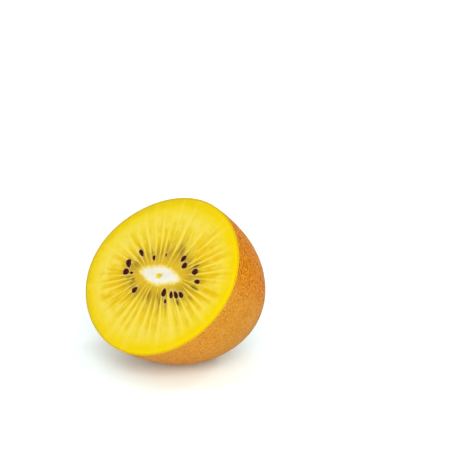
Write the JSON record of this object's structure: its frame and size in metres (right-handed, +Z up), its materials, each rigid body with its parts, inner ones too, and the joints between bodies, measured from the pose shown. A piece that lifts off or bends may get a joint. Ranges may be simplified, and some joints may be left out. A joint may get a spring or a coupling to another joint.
{
  "type": "golden kiwi fruit half",
  "caption": "Half of a yellow-fleshed kiwi fruit, cut straight across, lying on its skin with the cut face up and forward.",
  "frame": {"origin": "centre of the small flat spot that the half lies on", "axes": "+Z up; the cut face looks towards -Y and up; +X runs along the fruit's wider side"},
  "size_m": [0.0536, 0.0463, 0.0483],
  "materials": {
    "skin": "satin",
    "flesh": "gloss",
    "seed": "gloss"
  },
  "bodies": {
    "root": {"half_kiwi": "skin"}
  },
  "joints": []
}
